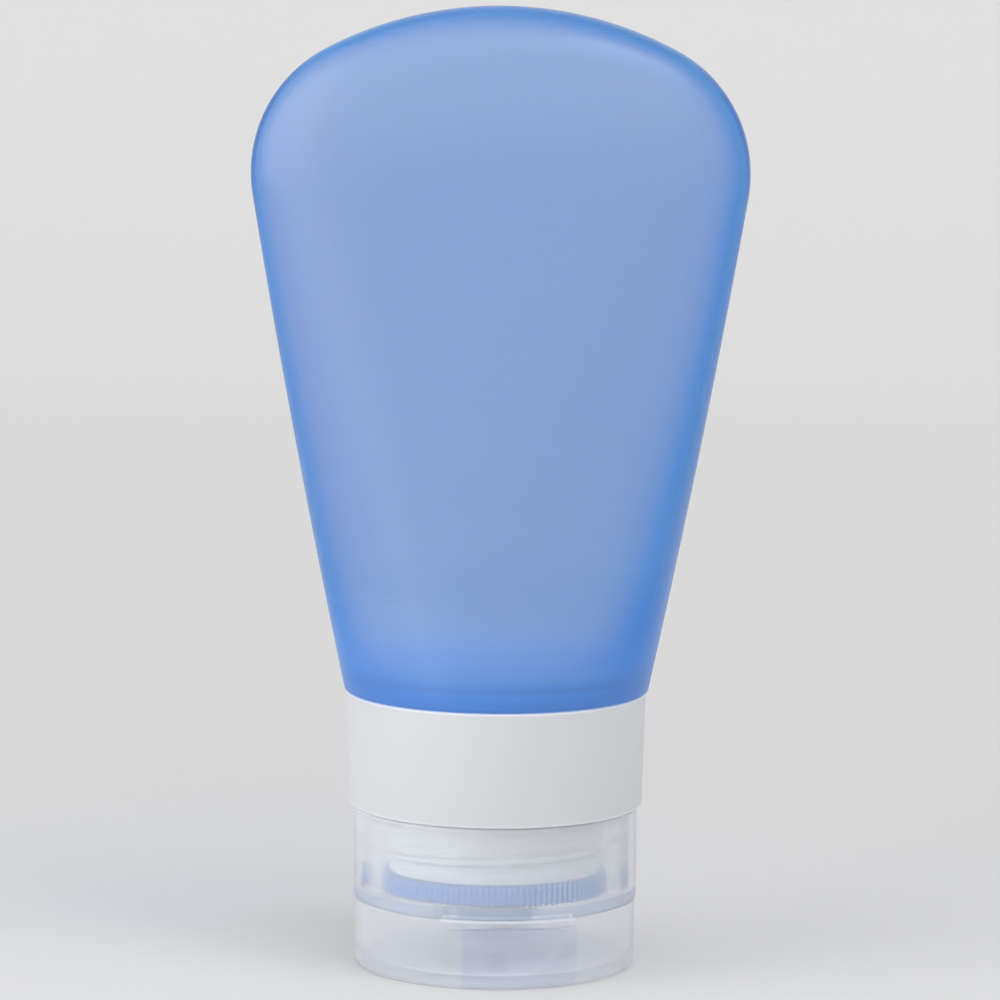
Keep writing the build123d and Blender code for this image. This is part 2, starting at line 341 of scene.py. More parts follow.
SIDE = (FOOT_RADIUS - SIDE_RADIUS * cos(FOOT_LEAN), FOOT_Z + SIDE_RADIUS * sin(FOOT_LEAN))
CROWN = (0.0, TOP_Z - CROWN_RADIUS)
CORNER = crossing(SIDE, SIDE_RADIUS - CORNER_RADIUS, CROWN, CROWN_RADIUS - CORNER_RADIUS)


def half_width(z, inset):
    """Half the body's width at a height: a side arc, a corner arc and a crown arc."""
    reach = CORNER_RADIUS - inset
    if z <= CORNER[1] + reach * sin(atan2(CORNER[1] - SIDE[1], CORNER[0] - SIDE[0])):
        centre, radius = SIDE, SIDE_RADIUS - inset
    elif z <= CORNER[1] + reach * sin(atan2(CORNER[1] - CROWN[1], CORNER[0] - CROWN[0])):
        centre, radius = CORNER, reach
    else:
        centre, radius = CROWN, CROWN_RADIUS - inset
    return centre[0] + sqrt(max(radius**2 - (z - centre[1]) ** 2, 0))


def half_depth(z, inset):
    """Half the body's depth at a height: straight from the collar, then a round nose."""
    nose_z = TOP_Z - NOSE_RADIUS
    rise = nose_z - FOOT_Z
    tilt = acos(NOSE_RADIUS / hypot(FOOT_RADIUS, rise)) - atan2(rise, FOOT_RADIUS)
    radius = NOSE_RADIUS - inset
    if z <= nose_z + radius * sin(tilt):
        return (radius - (z - nose_z) * sin(tilt)) / cos(tilt)
    return sqrt(max(radius**2 - (z - nose_z) ** 2, 0))


def oval_row(a, b, z, share):
    """A closed oval of four quarter curves at a height; share is the length of their handles."""
    t = np.arange(BODY_COLUMNS // 4) / (BODY_COLUMNS // 4)
    x = (1 - t) ** 3 + 3 * (1 - t) ** 2 * t + 3 * (1 - t) * t**2 * share
    y = 3 * (1 - t) ** 2 * t * share + 3 * (1 - t) * t**2 + t**3
    xs = np.concatenate([x, -y, -x, y]) * a
    ys = np.concatenate([y, x, -y, -x]) * b
    return np.stack([xs, ys, np.full(len(xs), z)], 1)


def body_row(z, inset, drawn_in=0.0):
    """The body's oval at a height, drawn in from its wall by a length if wanted."""
    share = ROUND_SHARE + (FULL_SHARE - ROUND_SHARE) * (z - FOOT_Z) / (TOP_Z - FOOT_Z)
    return oval_row(half_width(z, inset) - drawn_in, half_depth(z, inset) - drawn_in, z, share)


def body_rows(inset, low, count):
    """Rows of the body's outside, or of its cavity, from a height up to its closed end."""
    high = TOP_Z - inset
    heights = [low + (high - low) * sin(pi / 2 * i / count) for i in range(count)]
    return [body_row(z, inset) for z in heights] + [np.array([(0, 0, high)])]


def silicone_body():
    """Soft hollow body with its sleeve, one closed skin from outside to inside."""
    outside = body_rows(0.0, FOOT_Z + FOOT_ROUND, OUTSIDE_ROWS)
    edge = []
    for step in np.linspace(0, pi / 2, ARC_STEPS + 1)[1:]:
        row = outside[0] * (1 - FOOT_ROUND * (1 - cos(step)) / FOOT_RADIUS)
        row[:, 2] = FOOT_Z + FOOT_ROUND * (1 - sin(step))
        edge.append(row)
    groove_z = BEAD_Z + BEAD_HEIGHT
    floor_z = FOOT_Z + BODY_FLOOR
    sleeve = [
        (SLEEVE_RADIUS - HAIR, FOOT_Z),
        (SLEEVE_RADIUS - HAIR, groove_z - HAIR),
        (FLANGE_RADIUS - HAIR, groove_z - HAIR),
        (FLANGE_RADIUS - HAIR, BEAD_Z + HAIR),
        (NECK_RADIUS + HAIR, BEAD_Z + HAIR),
        (NECK_RADIUS + HAIR, floor_z),
    ]
    inside = [oval_row(r, r, z, ROUND_SHARE) for r, z in sleeve]
    for step in np.linspace(pi / 2, 0, FLOOR_STEPS + 1)[:-1]:
        z = floor_z + FLOOR_ROUND * (1 - sin(step))
        inside.append(body_row(z, BODY_WALL, FLOOR_ROUND * (1 - cos(step))))
    inside += body_rows(BODY_WALL, floor_z + FLOOR_ROUND, CAVITY_ROWS)
    rows = outside[::-1] + edge + inside
    return grid_object("soft_body", rows[::-1])


# Turned pieces

def thread_height(angles, z, start_z, turns):
    """Share of a thread ridge's height at each angle of a row, from 0 at its root to 1."""
    flank = (THREAD_ROOT - THREAD_CREST) / 2
    height = np.zeros_like(angles)
    for turn in range(-1, 3):
        way = (angles - THREAD_PHASE) / (2 * pi) + turn
        middle = start_z + THREAD_PITCH * way
        ridge = np.clip((THREAD_ROOT / 2 - np.abs(z - middle)) / flank, 0, 1)
        ends = np.clip(np.minimum(way, turns - way) / THREAD_TAPER, 0, 1)
        height = np.maximum(height, ridge * ends)
    return height


def neck_ring():
    """Threaded neck with its flange."""
    flange_low = BEAD_Z - FLANGE_THICKNESS + HAIR
    start_z = RIM_Z + THREAD_START
    profile = [
        (NECK_BORE, RIM_Z),
        (NECK_RADIUS, RIM_Z),
        (NECK_RADIUS, flange_low),
        (FLANGE_RADIUS - HAIR, flange_low),
        (FLANGE_RADIUS - HAIR, BEAD_Z),
        (NECK_RADIUS, BEAD_Z),
        (NECK_RADIUS, NECK_TOP_Z),
        (NECK_BORE, NECK_TOP_Z),
    ]
    profile = divided(rounded(profile, {0: NECK_RIM_ROUND, 1: NECK_RIM_ROUND}), NECK_STEP)

    def radius_at(radii, angles, z):
        if same(radii[0], NECK_RADIUS) and z < flange_low - TINY:
            return radii + THREAD_DEPTH * thread_height(angles, z, start_z, THREAD_TURNS)
        return radii

    return grid_object("threaded_neck", turned_rows(profile, RING_COLUMNS, radius_at), loop_rows=True)


def collar_ring():
    """Plain milky ring between the body and the cap."""
    groove_z = BEAD_Z + BEAD_HEIGHT
    flange_z = COLLAR_Z + COLLAR_LIP
    profile = [
        (COLLAR_LIP_RADIUS, COLLAR_Z),
        (COLLAR_TOP_RADIUS - COLLAR_DRAFT, COLLAR_Z),
        (COLLAR_TOP_RADIUS, FOOT_Z - HAIR),
        (SLEEVE_RADIUS, FOOT_Z - HAIR),
        (SLEEVE_RADIUS, groove_z),
        (FLANGE_RADIUS, groove_z),
        (FLANGE_RADIUS, flange_z),
        (COLLAR_LIP_RADIUS, flange_z),
    ]
    profile = rounded(profile, {1: COLLAR_ROUND, 2: COLLAR_ROUND})
    return grid_object("milky_collar", turned_rows(profile, RING_COLUMNS), loop_rows=True)


def sealing_gasket():
    """Soft blue ring under the neck's rim."""
    inner = GASKET_RADIUS - GASKET_WIDTH
    low, high = DECK_Z + HAIR, RIM_Z - HAIR
    profile = [(inner, low), (GASKET_RADIUS, low), (GASKET_RADIUS, high), (inner, high)]
    profile = rounded(profile, {corner: GASKET_ROUND for corner in range(len(profile))})
    return grid_object("blue_seal_ring", turned_rows(profile, RING_COLUMNS), loop_rows=True)


def cap_base():
    """Screw cap with its ribbed, threaded skirt, its spout and the nail nick."""
    inside = BASE_RADIUS - BASE_WALL
    skirt_z = BASE_TOP_Z - SKIRT_RECESS
    seat_z = SPOUT_Z + SPOUT_LIP - HAIR
    land_z = PART_Z + LAND_HEIGHT
    profile = [
        (SPOUT_MOUTH, SPOUT_Z),
        (SPOUT_RADIUS, SPOUT_Z),
        (SPOUT_RADIUS, PART_Z),
        (BASE_RADIUS, PART_Z),
        (BASE_RADIUS, land_z - LAND_ROUND),
        (BASE_RADIUS, land_z),
        (BASE_RADIUS, BASE_TOP_Z),
        (inside, BASE_TOP_Z),
        (inside, DECK_Z),
        (SKIRT_RADIUS, DECK_Z),
        (SKIRT_RADIUS, skirt_z),
        (SKIRT_BORE, skirt_z),
        (SKIRT_BORE, DECK_Z),
        (VALVE_RADIUS + HAIR, DECK_Z),
        (VALVE_RADIUS + HAIR, seat_z),
        (SPOUT_MOUTH, seat_z),
    ]
    profile = rounded(profile, {1: SPOUT_ROUND, 3: RIM_ROUND, 6: BASE_RIM_ROUND})
    profile = divided(profile, CAP_STEP)
    flank_slope = (THREAD_ROOT - THREAD_CREST) / 2 / THREAD_DEPTH
    both_flanks = THREAD_ROOT - flank_slope * (SKIRT_BORE - NECK_RADIUS)
    start_z = RIM_Z + THREAD_START + both_flanks + FLANK_CLEARANCE

    def radius_at(radii, angles, z):
        r = radii[0]
        if same(r, SKIRT_BORE) and z > DECK_Z:
            turned = (angles + CAP_TURN) % (2 * pi)
            return radii - THREAD_DEPTH * thread_height(turned, z, start_z, CAP_THREAD_TURNS)
        if same(r, SKIRT_RADIUS) and z > DECK_Z:
            wave = np.abs((angles * RIB_COUNT / (2 * pi)) % 1 * 2 - 1)
            return radii + RIB_DEPTH * (1 - wave)
        if r > BASE_RADIUS - RIM_ROUND - TINY and z < land_z - LAND_ROUND / 2:
            radii = radii + land_rise(angles, BASE_RADIUS)
        if r > BASE_RADIUS - NICK_DEPTH and z < PART_Z + NICK_HEIGHT:
            nick = BASE_RADIUS - NICK_DEPTH + (z - PART_Z) * NICK_DEPTH / NICK_HEIGHT
            inside_nick = np.clip((NICK_ANGLE - off_front(angles)) / NICK_EDGE, 0, 1)
            return radii + np.minimum(nick - radii, 0) * inside_nick
        return radii

    rows = turned_rows(profile, RIB_COUNT * COLUMNS_PER_RIB, radius_at)
    return turn_home(grid_object("screw_cap", rows, loop_rows=True))


def panel_reach(angles, z, inset):
    """Distance from the lid's axis to its thumb panel, at each angle of a row."""
    radius = PANEL_RADIUS - inset
    lip_z = PART_Z - LIP_HEIGHT
    low_share = (z - PANEL_LOW) / PANEL_RUN
    high_share = (lip_z - z) / LIP_RUN
    radius += PANEL_DEPTH * (1 - min(low_share, high_share, 1))
    centre = PANEL_RADIUS - (LID_RIM_RADIUS - PANEL_DEPTH)
    along = np.sin(angles) * centre
    return along + np.sqrt(along**2 - centre**2 + radius**2)


def flip_lid():
    """Lid with its thumb panel, sealing ring and pin."""
    radius = LID_RIM_RADIUS - LID_DRAFT
    ring_inner = SPOUT_RADIUS + SEAL_RING_GAP
    ring_outer = ring_inner + SEAL_RING_WALL
    ring_z = PART_Z - SEAL_RING_DROP
    land_z = PART_Z - LAND_HEIGHT

    def wall_at(z):
        return radius + LID_DRAFT * z / PART_Z

    profile = [
        (0.0, 0.0),
        (radius, 0.0),
        (wall_at(land_z), land_z),
        (wall_at(land_z + LAND_ROUND), land_z + LAND_ROUND),
        (LID_RIM_RADIUS, PART_Z),
        (LID_RIM_RADIUS - LID_WALL, PART_Z),
        (radius - LID_WALL, LID_PLATE),
        (ring_outer, LID_PLATE),
        (ring_outer, ring_z),
        (ring_inner, ring_z),
        (ring_inner, LID_PLATE),
        (PIN_RADIUS, LID_PLATE),
        (PIN_RADIUS, PIN_Z),
        (0.0, PIN_Z),
    ]
    profile = rounded(profile, {1: LID_FOOT_ROUND, 4: RIM_ROUND, 6: LID_WALL})
    profile = divided(profile, LID_STEP, closed=False)

    def radius_at(radii, angles, z):
        r = radii[0]
        if r < radius - 2 * LID_WALL or z < LID_PLATE / 2:
            return radii
        outside = r > radius - LID_WALL / 2
        if outside and z > land_z + LAND_ROUND / 2:
            radii = radii + land_rise(angles, wall_at(z))
        reach = panel_reach(angles, z, 0.0 if outside else LID_WALL)
        return soft_minimum(radii, reach, PANEL_EDGE)

    return turn_home(grid_object("frosted_lid", turned_rows(profile, LID_COLUMNS, radius_at)))


def hinge_strap():
    """Living hinge: two pads and a thin loop that bends at the parting plane."""
    hinge_y = BASE_RADIUS + HINGE_STAND + HAIR
    pad_y = hinge_y + STRAP_THICKNESS - HAIR
    loop_y = pad_y + STRAP_BOW
    web_y = loop_y - WEB_THICKNESS
    far = STRAP_REACH + STRAP_PAD
    outer, inner = [], []
    for i in range(STRAP_ROWS + 1):
        z = far - 2 * far * i / STRAP_ROWS
        bow = cos(pi / 2 * min(abs(z) / STRAP_REACH, 1)) ** 2
        outer.append((pad_y + (loop_y - pad_y) * bow, z + PART_Z))
        inner.append((hinge_y + (web_y - hinge_y) * bow, z + PART_Z))
    profile = outer + inner[::-1]
    rows = []
    for i in range(STRAP_COLUMNS + 1):
        x = STRAP_WIDTH * (i / STRAP_COLUMNS - 0.5)
        rows.append(np.array([(x, y, z) for y, z in profile]))
    ends = [rows[0].mean(0, keepdims=True)] + rows + [rows[-1].mean(0, keepdims=True)]
    return turn_home(grid_object("hinge_band", ends[::-1]))


# Materials

# The sockets of a Mix node that take its two values and give its result, for numbers and colours
MIX_SOCKETS = {"FLOAT": (2, 3, 0), "RGBA": (6, 7, 2)}

# Nearly all of the noise lies between these
NOISE_SPAN = (0.3, 0.7)

WHITE = (1, 1, 1, 1)


class Paint:
    """A node material, built step by step."""

    def __init__(self, name):
        self.material = bpy.data.materials.new(name)
        self.material.use_nodes = True
        self.tree = self.material.node_tree
        self.tree.nodes.clear()
        self.output = self.tree.nodes.new("ShaderNodeOutputMaterial")
        coords = self.tree.nodes.new("ShaderNodeTexCoord")
        self.place = coords.outputs["Object"]
        self.normal = coords.outputs["Normal"]
        self.inside = self.tree.nodes.new("ShaderNodeNewGeometry").outputs["Backfacing"]

    def put(self, value, socket):
        """Link an output to a socket, or write a plain value on it."""
        if isinstance(value, bpy.types.NodeSocket):
            self.tree.links.new(value, socket)
        else:
            socket.default_value = value

    def node(self, kind, *values, operation=None, **named):
        """A node with values or links on its first inputs and on its named ones."""
        made = self.tree.nodes.new(kind)
        if operation is not None:
            made.operation = operation
        for value, socket in zip(values, made.inputs):
            self.put(value, socket)
        for name, value in named.items():
            self.put(value, made.inputs[name.replace("_", " ")])
        return made

    def maths(self, operation, *values):
        """The result of an operation on one or two numbers."""
        return self.node("ShaderNodeMath", *values, operation=operation).outputs["Value"]

    def product(self, first, *others):
        """The product of some numbers."""
        for other in others:
            first = self.maths("MULTIPLY", first, other)
        return first

    def vector_maths(self, operation, *values):
        """A node that does an operation on one or two vectors."""
        return self.node("ShaderNodeVectorMath", *values, operation=operation)

    def slope(self, value, span, low, high):
        """A number that goes smoothly from low to high over a span of the value."""
        start, end = span
        made = self.node("ShaderNodeMapRange", From_Min=start, From_Max=end, To_Min=low, To_Max=high)
        made.interpolation_type = "SMOOTHSTEP"
        self.put(value, made.inputs["Value"])
        return made.outputs["Result"]

    def rise(self, value, span):
        """A share that goes smoothly from 0 to 1 over a span of the value."""
        return self.slope(value, span, 0.0, 1.0)

    def fall(self, value, span):
        """A share that goes smoothly from 1 to 0 over a span of the value."""
        return self.slope(value, span, 1.0, 0.0)

    def mixed(self, kind, share, first, second):
        """A mix of two values of a kind, FLOAT or RGBA."""
        made = self.tree.nodes.new("ShaderNodeMix")
        made.data_type = kind
        first_socket, second_socket, result = MIX_SOCKETS[kind]
        self.put(share, made.inputs[0])
        self.put(first, made.inputs[first_socket])
        self.put(second, made.inputs[second_socket])
        return made.outputs[result]

    def blend(self, share, first, second):
        """A mix of two numbers."""
        return self.mixed("FLOAT", share, first, second)

    def colours(self, share, first, second):
        """A mix of two colours."""
        return self.mixed("RGBA", share, first, second)

    def axis(self, name):
        """One axis of the place on the piece."""
        return self.node("ShaderNodeSeparateXYZ", self.place).outputs[name]

    def reach(self):
        """Distance from the Z axis."""
        flat = self.vector_maths("MULTIPLY", self.place, (1, 1, 0))
        return self.vector_maths("LENGTH", flat.outputs["Vector"]).outputs["Value"]

    def along(self, vector, way):
        """How far a vector goes along a direction."""
        return self.vector_maths("DOT_PRODUCT", vector, way).outputs["Value"]

    def noise(self, scale, detail=3.0):
        """Noise in the piece's own space."""
        made = self.node("ShaderNodeTexNoise", Vector=self.place, Scale=scale, Detail=detail)
        return made.outputs["Fac"]

    def mottled(self, scale, smooth, rough, detail=3.0):
        """A roughness that wanders between two values."""
        return self.slope(self.noise(scale, detail), NOISE_SPAN, smooth, rough)

    def grain(self, scale, strength, distance):
        """A normal with a fine grain."""
        height = self.noise(scale)
        made = self.node("ShaderNodeBump", Height=height, Strength=strength, Distance=distance)
        return made.outputs["Normal"]

    def surface(self, colour, roughness, **values):
        """A Principled shader."""
        made = self.node("ShaderNodeBsdfPrincipled", Base_Color=colour, Roughness=roughness, **values)
        return made.outputs["BSDF"]

    def mix(self, share, first, second):
        """A mix of two shaders."""
        return self.node("ShaderNodeMixShader", share, first, second).outputs["Shader"]

    def lets_lamps_through(self, shader, tint):
        """The shader, but lamps shine through it with a tint."""
        path = self.node("ShaderNodeLightPath")
        clear = self.node("ShaderNodeBsdfTransparent", Color=tint)
        return self.mix(path.outputs["Is Shadow Ray"], shader, clear.outputs["BSDF"])

    def done(self, surface, volume=None):
        """The finished material."""
        self.put(surface, self.output.inputs["Surface"])
        if volume is not None:
            self.put(volume, self.output.inputs["Volume"])
        return self.material


# Silicone body: its tones

SILICONE_WALL = (0.42, 0.485, 0.745, 1)
# The crown's lighter tone is a painted glow of light at the top of the body
SILICONE_CROWN_GLOW = (0.54, 0.60, 0.83, 1)
SILICONE_LOW_WALL = (0.42, 0.56, 0.79, 1)
SILICONE_PAINTED_EDGE = (0.06, 0.355, 0.84, 1)
SILICONE_FOOT = (0.115, 0.335, 0.82, 1)
SILICONE_LIT = (0.775, 0.79, 0.83, 1)
SILICONE_DEPTH = (0.0, 0.62, 0.97, 1)

# Heights over which the tones change, from the foot up to the crown

FOOT_SPAN = (FOOT_Z + 1 * MM, FOOT_Z + 14.5 * MM)
HAZE_SPAN = (FOOT_Z + 3 * MM, FOOT_Z + 18 * MM)
LOW_WALL_SPAN = (FOOT_Z + 10 * MM, FOOT_Z + 24 * MM)
SHOULDER_SPAN = (TOP_Z - 44 * MM, TOP_Z - 24 * MM)
# The crown's span fades in that painted glow
CROWN_GLOW_SPAN = (TOP_Z - 26 * MM, TOP_Z - 6 * MM)

# A way out of the flat front, leaning a little left and up, and spans of how far a normal goes along
# it: the edge's blue is deepest where the two spans meet, and SHOULDER_EDGE widens it further up.
# This edge blue is painted light, the deeper colour of light through the wall seen edge on, and the
# lean paints more shade at the right edge.

FLAT_WAY = (-0.13, -0.983, 0.13)
TURNED_SPAN = (0.45, 0.89)
ACROSS_SPAN = (0.0, 0.45)
ACROSS_EDGE = 0.6
SHOULDER_EDGE = 0.05

# How matt the silicone is at its foot and above, and how strongly its thickness colours light

SILICONE_FOOT_SHARE = 0.62
SILICONE_SHARE = 0.32
SILICONE_DENSITY = 280.0


def silicone_material():
    """Frosted translucent blue silicone, deeper at its foot; its deeper blue where the wall is seen
    edge on, the shade at its right edge and the glow at its crown are painted.
    """
    paint = Paint("blue_silicone")
    height = paint.axis("Z")
    facing = paint.maths("ABSOLUTE", paint.along(paint.normal, FLAT_WAY))
    facing = paint.maths("SUBTRACT", facing, paint.slope(height, SHOULDER_SPAN, 0.0, SHOULDER_EDGE))
    across = paint.slope(facing, ACROSS_SPAN, ACROSS_EDGE, 1.0)
    edge = paint.product(paint.fall(facing, TURNED_SPAN), across)
    # painted glow at the crown
    wall = paint.colours(paint.rise(height, CROWN_GLOW_SPAN), SILICONE_WALL, SILICONE_CROWN_GLOW)
    wall = paint.colours(paint.fall(height, LOW_WALL_SPAN), wall, SILICONE_LOW_WALL)
    # painted: the deeper blue at the edges, with painted shade at the right edge
    haze = paint.colours(edge, wall, SILICONE_PAINTED_EDGE)
    haze = paint.colours(paint.fall(height, FOOT_SPAN), haze, SILICONE_FOOT)
    share = paint.slope(height, HAZE_SPAN, SILICONE_FOOT_SHARE, SILICONE_SHARE)
    roughness = paint.mottled(scale=90.0, smooth=0.38, rough=0.47, detail=4.0)
    grain = paint.grain(scale=2600.0, strength=0.10, distance=0.05 * MM)
    clear = paint.surface(WHITE, roughness=0.24, Transmission_Weight=1.0, IOR=1.36, Normal=grain)
    hazy = paint.surface(haze, roughness, IOR=1.48, Normal=grain)
    body = paint.lets_lamps_through(paint.mix(share, clear, hazy), SILICONE_LIT)
    absorb = paint.node("ShaderNodeVolumeAbsorption", Color=SILICONE_DEPTH, Density=SILICONE_DENSITY)
    return paint.done(body, absorb.outputs["Volume"])


# Plain pieces

SEAL_BLUE = (0.02, 0.20, 0.58, 1)
MILKY_DARK = (0.675, 0.682, 0.705, 1)
MILKY_LIGHT = (0.69, 0.697, 0.72, 1)
# MILKY_RIM_LIGHT is painted light: a highlight along the collar's top edge, and lighter tone over the
# shade under its lower edge
MILKY_RIM_LIGHT = (0.90, 0.92, 0.95, 1)
NECK_WHITE = (0.73, 0.745, 0.745, 1)
COLLAR_TOP_SPAN = (FOOT_Z - 0.45 * MM, FOOT_Z - 0.15 * MM)
COLLAR_LOW_SPAN = (COLLAR_Z + 0.1 * MM, COLLAR_Z + 0.5 * MM)
PLASTIC_IOR = 1.49


def seal_material():
    """Satin blue silicone of the seal ring and the valve."""
    paint = Paint("blue_seal")
    grain = paint.grain(scale=1800.0, strength=0.15, distance=0.05 * MM)
    roughness = paint.mottled(scale=160.0, smooth=0.36, rough=0.48)
    return paint.done(paint.surface(SEAL_BLUE, roughness, IOR=1.41, Normal=grain))


def milky_material():
    """Milky white polypropylene of the collar; a painted highlight on its top rim, and painted light
    over the shade at its lower rim.
    """
    paint = Paint("milky_plastic")
    height = paint.axis("Z")
    top_rim = paint.rise(height, COLLAR_TOP_SPAN)
    low_rim = paint.fall(height, COLLAR_LOW_SPAN)
    rim = paint.maths("MAXIMUM", top_rim, low_rim)
    tone = paint.colours(paint.noise(scale=60.0), MILKY_DARK, MILKY_LIGHT)
    tone = paint.colours(rim, tone, MILKY_RIM_LIGHT)
    grain = paint.grain(scale=900.0, strength=0.05, distance=0.03 * MM)
    roughness = paint.mottled(scale=140.0, smooth=0.34, rough=0.44)
    return paint.done(paint.surface(tone, roughness, IOR=PLASTIC_IOR, Normal=grain))


def white_material():
    """Satin white polypropylene of the neck and the snap ring."""
    paint = Paint("white_plastic")
    grain = paint.grain(scale=900.0, strength=0.05, distance=0.03 * MM)
    roughness = paint.mottled(scale=140.0, smooth=0.36, rough=0.46)
    return paint.done(paint.surface(NECK_WHITE, roughness, IOR=PLASTIC_IOR, Normal=grain))


# Frosted pieces: what the cap and the lid have in common

FROSTED_CLEAR = (0.98, 0.985, 1.0, 1)
FROSTED_LIT = (0.94, 0.955, 0.975, 1)
INNER_SHARE = 0.08
SKIN_STEP = 0.02 * MM


def frosted(paint, haze, skin, skin_share, inner_share):
    """Clear polypropylene whose faces beyond the skin's radius are matt; the shares say how much."""
    grain = paint.grain(scale=1500.0, strength=0.08, distance=0.03 * MM)
    roughness = paint.mottled(scale=120.0, smooth=0.36, rough=0.46)
    clear = paint.surface(
        FROSTED_CLEAR, roughness=0.12, Transmission_Weight=1.0, IOR=1.15, Normal=grain
    )
    hazy = paint.surface(haze, roughness, IOR=PLASTIC_IOR, Normal=grain)
    outer = paint.rise(paint.reach(), (skin - SKIN_STEP, skin + SKIN_STEP))
    share = paint.blend(outer, inner_share, skin_share)
    share = paint.product(share, paint.maths("SUBTRACT", 1.0, paint.inside))
    return paint.done(paint.lets_lamps_through(paint.mix(share, clear, hazy), FROSTED_LIT))


# Cap base: its tones

CAP_HAZE = (0.77, 0.795, 0.84, 1)
# CAP_DECK_PAINTED_SEAL is the seal's blue painted on the deck, standing in for the seal that shows
# through it
CAP_DECK_PAINTED_SEAL = (0.49, 0.55, 0.70, 1)
# CAP_NICK_HIGHLIGHT is a painted highlight on the nail nick and along the rounding at the parting
# line
CAP_NICK_HIGHLIGHT = (0.74, 0.82, 0.96, 1)
# CAP_RIM_LIGHT is painted light over the shade that the collar casts on the cap's top rim
CAP_RIM_LIGHT = (0.83, 0.85, 0.885, 1)

# Where they change: heights, distances from the axis, and for the ribs also X and their own wave

DECK_LOW_SPAN = (PART_Z, PART_Z + 0.15 * MM)
DECK_HIGH_SPAN = (DECK_Z - 0.1 * MM, DECK_Z + 0.3 * MM)
SEAL_SPAN = (RIM_Z - 0.5 * MM, RIM_Z + 2.5 * MM)
UPPER_SPAN = (BASE_TOP_Z - 5.0 * MM, BASE_TOP_Z - 1.0 * MM)
CAP_RIM_SPAN = (BASE_TOP_Z - 0.6 * MM, BASE_TOP_Z - 0.25 * MM)
NICK_HIGHLIGHT_SPAN = (BASE_RADIUS - 0.2 * MM, BASE_RADIUS - 0.05 * MM)
CAP_SKIN = BASE_RADIUS - BASE_WALL + 0.03 * MM
RIB_SPAN = (SKIRT_RADIUS - 0.2 * MM, SKIRT_RADIUS)
RIB_LIT_SPAN = (4 * MM, 9 * MM)
RIB_WAVE_SPAN = (-0.2, 1.0)

# How matt the skin is: under the seal's top, above it, added further up, on the deck and at the rim;
# the share added further up and the rim's share lighten the shade under the collar, as painted light

SKIN_SHARE_LOW = 0.34
SKIN_SHARE = 0.44
SKIN_SHARE_UPPER = 0.13
SKIN_SHARE_DECK = 0.75
SKIN_SHARE_RIM = 0.65

# How matt the ribs are: at most, on the whole, and how far unlit ribs go from the second to the first

RIB_SHARE = 0.34
RIB_SHARE_MEAN = 0.15
RIB_UNLIT = 0.3


def rib_share(paint):
    """How matt the ribs are: this follows each rib at the right, where they are painted as lit, and
    less so elsewhere.
    """
    turn = paint.maths("ARCTAN2", paint.axis("Y"), paint.axis("X"))
    wave = paint.maths("COSINE", paint.product(turn, RIB_COUNT))
    lit = paint.slope(paint.axis("X"), RIB_LIT_SPAN, RIB_UNLIT, 1.0)
    return paint.blend(lit, RIB_SHARE_MEAN, paint.slope(wave, RIB_WAVE_SPAN, RIB_SHARE, 0.0))


def cap_material():
    """Frosted cap: the seal's blue painted on its deck, a painted highlight on the nail nick, a rim
    painted lighter over the collar's shade, and ribs painted as lit at the right.
    """
    paint = Paint("frosted_cap")
    height = paint.axis("Z")
    reach = paint.reach()
    rim = paint.rise(height, CAP_RIM_SPAN)
    deck = paint.product(paint.rise(height, DECK_LOW_SPAN), paint.fall(height, DECK_HIGH_SPAN))
    deck_painted_light = paint.colours(paint.fall(reach, NICK_HIGHLIGHT_SPAN), CAP_DECK_PAINTED_SEAL, CAP_NICK_HIGHLIGHT)
    haze = paint.colours(deck, CAP_HAZE, deck_painted_light)
    haze = paint.colours(rim, haze, CAP_RIM_LIGHT)
    by_seal = paint.slope(height, SEAL_SPAN, SKIN_SHARE_LOW, SKIN_SHARE)
    upper = paint.slope(height, UPPER_SPAN, 0.0, SKIN_SHARE_UPPER)
    skin_share = paint.blend(deck, paint.maths("ADD", by_seal, upper), SKIN_SHARE_DECK)
    skin_share = paint.blend(rim, skin_share, SKIN_SHARE_RIM)
    inner_share = paint.blend(paint.rise(reach, RIB_SPAN), INNER_SHARE, rib_share(paint))
    return frosted(paint, haze, CAP_SKIN, skin_share, inner_share)


# Flip lid: its tones, and where they change

LID_HAZE = (0.74, 0.765, 0.83, 1)
# LID_PANEL_SHADE is painted shade in the recessed thumb panel
LID_PANEL_SHADE = (0.65, 0.69, 0.82, 1)
# LID_RIM_HIGHLIGHT is a painted highlight along the lid's rim
LID_RIM_HIGHLIGHT = (0.85, 0.88, 0.93, 1)
PANEL_LEFT_SPAN = (-6.7 * MM, -6.1 * MM)
PANEL_RIGHT_SPAN = (9.2 * MM, 9.8 * MM)
PANEL_LIP_SPAN = (PART_Z - LIP_HEIGHT - 0.3 * MM, PART_Z - LIP_HEIGHT + 0.1 * MM)
FRONT_SPAN = (0.0, 1 * MM)
LID_EDGE_SPAN = (PART_Z - 0.4 * MM, PART_Z - 0.15 * MM)
LIP_SIDE_SPAN = (9.0 * MM, 9.6 * MM)
LID_SKIN = LID_RIM_RADIUS - PANEL_DEPTH - 0.05 * MM

# How much of the rim's painted highlight is left beside the panel, and how matt the lid's skin and
# its rim are

BESIDE_PANEL = 0.25
LID_SHARE = 0.52
LID_EDGE_SHARE = 0.70


